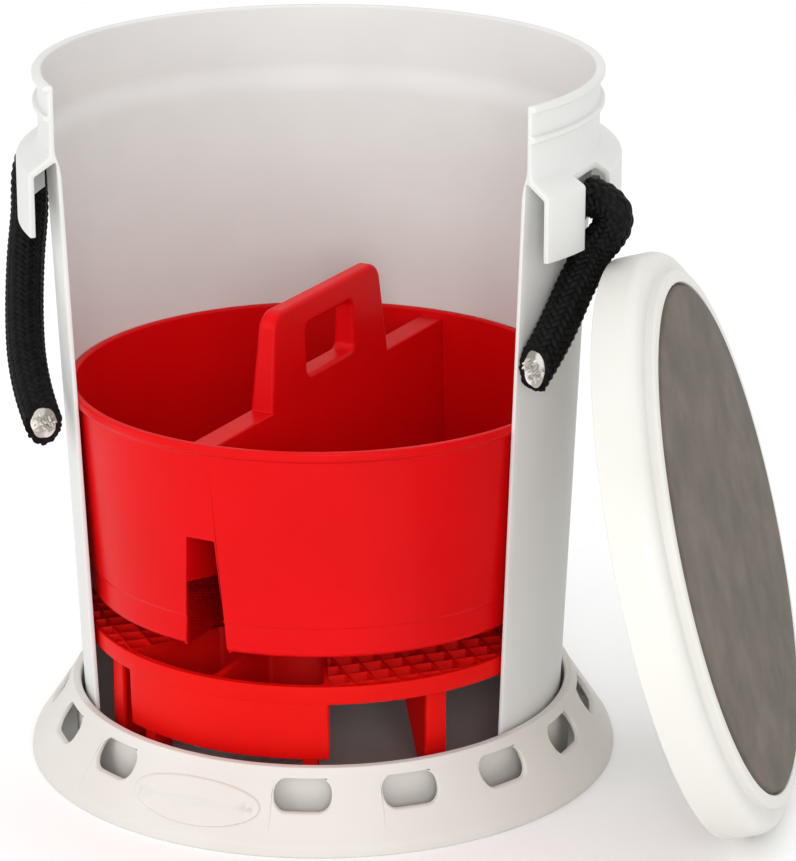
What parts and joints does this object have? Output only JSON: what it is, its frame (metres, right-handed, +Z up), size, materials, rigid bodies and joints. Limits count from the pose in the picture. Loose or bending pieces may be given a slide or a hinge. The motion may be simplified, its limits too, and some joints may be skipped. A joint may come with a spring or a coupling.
{
  "type": "wash bucket kit",
  "caption": "Cutaway rope-handled wash bucket on a flared base ring, with lift-out caddy, grit grate with sorting bins, and padded seat lid.",
  "frame": {"origin": "middle of the base ring's underside, on the floor under the bucket's axis", "axes": "+Z up along the bucket's axis, -Y towards the cut-open front, +X towards the side where the seat lid leans"},
  "size_m": [0.4356, 0.4132, 0.3833],
  "materials": {
    "base_plastic": "white polypropylene, fine moulded texture",
    "bucket_plastic": "off-white polyethylene, satin",
    "grate_plastic": "red moulded plastic, satin",
    "caddy_plastic": "red moulded plastic, semi-gloss",
    "rope_cover": "black double-braided rope cover",
    "rope_core": "off-white fibre core, cut end frayed",
    "steel": "stainless",
    "lid_plastic": "warm white plastic, satin",
    "gasket_rubber": "dark soft rubber",
    "pad_foam": "taupe-grey closed-cell foam, matt"
  },
  "bodies": {
    "base": {"base_ring": "base_plastic"},
    "bucket": {"bucket_shell": "bucket_plastic"},
    "grate": {"grate": "grate_plastic"},
    "caddy": {"caddy": "caddy_plastic"},
    "rope_right": {"rope_cover_right": "rope_cover", "rope_core_right": "rope_core", "rope_stopper_right": "steel"},
    "rope_left": {"rope_cover_left": "rope_cover", "rope_core_left": "rope_core", "rope_stopper_left": "steel"},
    "lid": {"lid_shell": "lid_plastic", "lid_gasket": "gasket_rubber", "seat_pad": "pad_foam"}
  },
  "joints": [
    {"name": "bucket_lift", "type": "slide", "parent": "base", "child": "bucket", "axis": [0, 0, 1], "range_m": [0, 0.15]},
    {"name": "grate_lift", "type": "slide", "parent": "bucket", "child": "grate", "axis": [0, 0, 1], "range_m": [0, 0.4]},
    {"name": "caddy_lift", "type": "slide", "parent": "grate", "child": "caddy", "axis": [0, 0, 1], "range_m": [0, 0.3]},
    {"name": "rope_swing_left", "type": "hinge", "parent": "bucket", "child": "rope_left", "pos_m": [-0.14297, 0.06365, 0.3265], "axis": [-0.9135, 0.4067, 0], "range_deg": [0, 8]},
    {"name": "rope_swing_right", "type": "hinge", "parent": "bucket", "child": "rope_right", "pos_m": [0.14297, -0.06365, 0.3265], "axis": [-0.9135, 0.4067, 0], "range_deg": [0, 8]},
    {"name": "lid_slide", "type": "slide", "parent": "base", "child": "lid", "axis": [0.9781, -0.2079, 0], "range_m": [0, 0.2]}
  ],
  "couplings": [
    {"joint": "rope_swing_right", "follows": "rope_swing_left", "ratio": 1}
  ]
}
